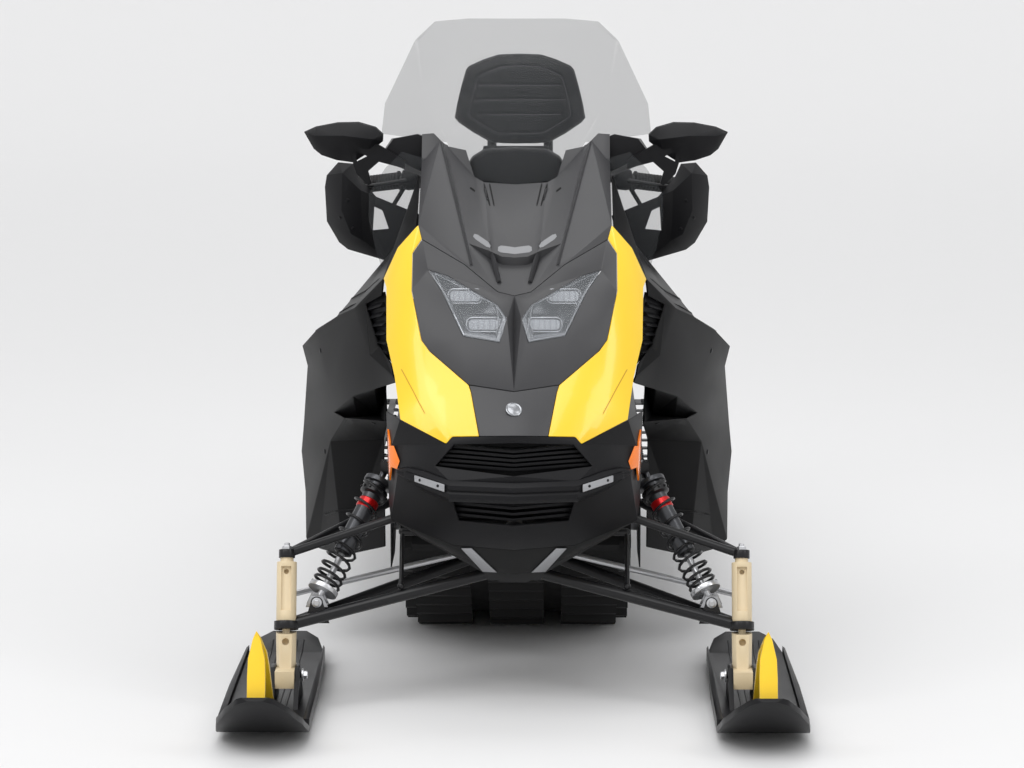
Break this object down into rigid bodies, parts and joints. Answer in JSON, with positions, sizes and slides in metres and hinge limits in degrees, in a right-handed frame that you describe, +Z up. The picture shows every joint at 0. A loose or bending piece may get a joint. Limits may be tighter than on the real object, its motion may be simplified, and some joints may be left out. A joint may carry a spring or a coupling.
{
  "type": "snowmobile",
  "caption": "Wide-track two-up touring snowmobile with steered skis, tall windshield, stepped seat, backrest, rack and hitch.",
  "frame": {"origin": "on the ground, at the middle of the length and width", "axes": "+X to the rider's left, +Y to the rear, +Z up"},
  "size_m": [1.204, 3.2, 1.416],
  "materials": {
    "alu_black": "satin",
    "cast_alloy": "satin",
    "black_plastic": "matte",
    "grey_plastic": "satin",
    "yellow_plastic": "gloss",
    "black_gloss": "satin",
    "lamp_lens": "gloss",
    "smoked_shield": "gloss",
    "lamp_bright": "gloss",
    "amber_lens": "gloss",
    "seat_vinyl": "satin",
    "black_steel": "satin",
    "flap_rubber": "matte",
    "tail_lens": "gloss",
    "track_rubber": "matte",
    "wheel_plastic": "satin",
    "bare_steel": "satin",
    "tan_cast": "satin",
    "ski_plastic": "satin"
  },
  "bodies": {
    "chassis": {"tunnel": "alu_black", "running_boards": "alu_black", "front_frame": "cast_alloy", "belly_pan": "black_plastic", "engine_block": "cast_alloy", "nose_cowl": "black_plastic", "grille": "black_plastic", "front_bumper": "black_plastic", "nose_panel": "grey_plastic", "lower_hood": "grey_plastic", "upper_cowl": "grey_plastic", "accent_panel_left": "yellow_plastic", "accent_panel_right": "yellow_plastic", "side_panel_left": "black_gloss", "side_panel_right": "black_gloss", "headlights": "lamp_lens", "headlight_units": "lamp_bright", "side_reflectors": "amber_lens", "side_vents": "black_plastic", "side_deflectors": "smoked_shield", "instrument_hood": "black_plastic", "windshield": "smoked_shield", "windshield_mounts": "black_plastic", "mirrors": "black_plastic", "console": "black_plastic", "seat": "seat_vinyl", "backrest": "seat_vinyl", "backrest_frame": "black_steel", "cargo_rack": "black_steel", "rear_bumper": "black_steel", "hitch": "black_steel", "snow_flap": "flap_rubber", "tail_light": "tail_lens", "track": "track_rubber", "slide_rails": "cast_alloy", "idler_wheels": "wheel_plastic", "drive_axle": "bare_steel", "skid_suspension": "black_steel", "lower_arms": "black_steel", "upper_arms": "black_steel", "front_shocks": "black_steel", "shock_rods": "bare_steel", "front_springs": "black_steel", "sway_bar": "black_steel"},
    "steering": {"handlebar": "black_steel", "handguards": "black_plastic"},
    "tie_rod_left": {"tie_rod_left": "bare_steel"},
    "tie_rod_right": {"tie_rod_right": "bare_steel"},
    "ski_left": {"spindle_left": "tan_cast", "ski_left": "ski_plastic", "ski_loop_left": "yellow_plastic"},
    "ski_right": {"spindle_right": "tan_cast", "ski_right": "ski_plastic", "ski_loop_right": "yellow_plastic"}
  },
  "joints": [
    {"name": "handlebar_turn", "type": "hinge", "parent": "chassis", "child": "steering", "pos_m": [0, -0.23, 0.992], "axis": [0, 0.7314, 0.682], "range_deg": [-30, 30]},
    {"name": "ski_steer_left", "type": "hinge", "parent": "chassis", "child": "ski_left", "pos_m": [0.477, -1.105, 0.182], "axis": [0, 0.2983, 0.9545], "range_deg": [-31, 31]},
    {"name": "tie_rod_swing_left", "type": "hinge", "parent": "ski_left", "child": "tie_rod_left", "pos_m": [0.477, -0.99143, 0.21017], "axis": [0, 0.2983, 0.9545], "range_deg": [-31, 31]},
    {"name": "ski_steer_right", "type": "hinge", "parent": "chassis", "child": "ski_right", "pos_m": [-0.477, -1.105, 0.182], "axis": [0, 0.2983, 0.9545], "range_deg": [-31, 31]},
    {"name": "tie_rod_swing_right", "type": "hinge", "parent": "ski_right", "child": "tie_rod_right", "pos_m": [-0.477, -0.99143, 0.21017], "axis": [0, 0.2983, 0.9545], "range_deg": [-31, 31]}
  ],
  "couplings": [
    {"joint": "ski_steer_left", "follows": "handlebar_turn", "ratio": 1},
    {"joint": "tie_rod_swing_left", "follows": "handlebar_turn", "ratio": -1},
    {"joint": "ski_steer_right", "follows": "handlebar_turn", "ratio": 1},
    {"joint": "tie_rod_swing_right", "follows": "handlebar_turn", "ratio": -1}
  ]
}
